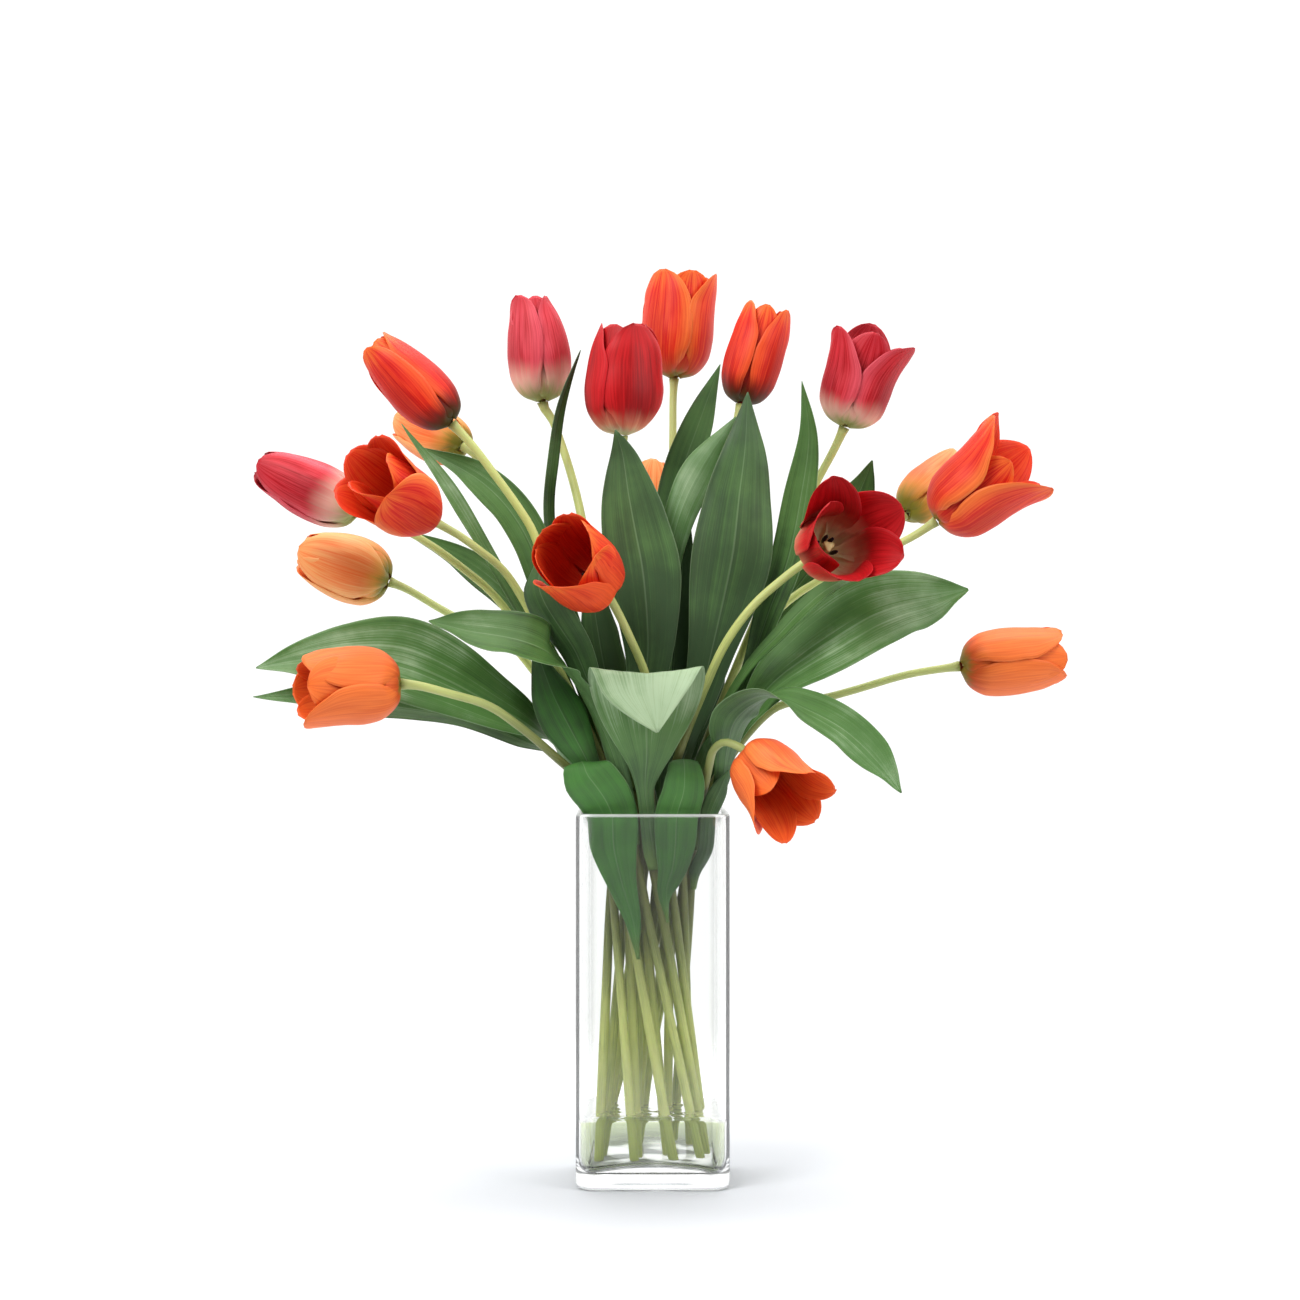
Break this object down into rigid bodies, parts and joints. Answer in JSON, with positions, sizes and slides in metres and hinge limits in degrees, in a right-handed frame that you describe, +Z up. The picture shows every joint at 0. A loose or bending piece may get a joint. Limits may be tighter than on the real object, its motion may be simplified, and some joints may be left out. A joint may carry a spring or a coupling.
{
  "type": "tulips in a vase",
  "caption": "Loose bunch of orange and red tulips with broad folded leaves, standing in a tall square clear glass vase with a little water.",
  "frame": {"origin": "middle of the flat underside of the vase, on the surface it stands on", "axes": "+Z up along the vase, -Y towards the front of the arrangement, +X to the right of someone who looks at the front"},
  "size_m": [0.5472, 0.2856, 0.6197],
  "materials": {
    "vase_glass": "clear polished glass",
    "water": "clear still water",
    "stem": "smooth pale green stalk",
    "leaf": "waxy satin green leaf",
    "petal_flame": "satin petal",
    "petal_peach": "satin petal",
    "petal_crimson": "satin petal",
    "petal_orange": "satin petal",
    "petal_red": "satin petal"
  },
  "bodies": {
    "root": {"vase": "vase_glass", "water": "water", "stem_01": "stem", "stem_02": "stem", "stem_03": "stem", "stem_04": "stem", "stem_05": "stem", "stem_06": "stem", "stem_07": "stem", "stem_08": "stem", "stem_09": "stem", "stem_10": "stem", "stem_11": "stem", "stem_12": "stem", "stem_13": "stem", "stem_14": "stem", "stem_15": "stem", "stem_16": "stem", "stem_17": "stem", "stem_18": "stem", "bloom_01": "petal_flame", "bloom_02": "petal_peach", "bloom_03": "petal_crimson", "bloom_04": "petal_orange", "bloom_05": "petal_peach", "bloom_06": "petal_orange", "bloom_07": "petal_crimson", "bloom_08": "petal_red", "bloom_09": "petal_orange", "bloom_10": "petal_flame", "bloom_11": "petal_crimson", "bloom_12": "petal_peach", "bloom_13": "petal_flame", "bloom_14": "petal_red", "bloom_15": "petal_orange", "bloom_16": "petal_peach", "bloom_17": "petal_orange", "bloom_18": "petal_orange", "leaf_01": "leaf", "leaf_02": "leaf", "leaf_03": "leaf", "leaf_04": "leaf", "leaf_05": "leaf", "leaf_06": "leaf", "leaf_07": "leaf", "leaf_08": "leaf", "leaf_09": "leaf", "leaf_10": "leaf", "leaf_11": "leaf", "leaf_12": "leaf", "leaf_13": "leaf", "leaf_14": "leaf", "leaf_15": "leaf", "leaf_16": "leaf", "leaf_17": "leaf", "leaf_18": "leaf", "leaf_19": "leaf", "leaf_20": "leaf", "leaf_21": "leaf", "leaf_22": "leaf"}
  },
  "joints": []
}
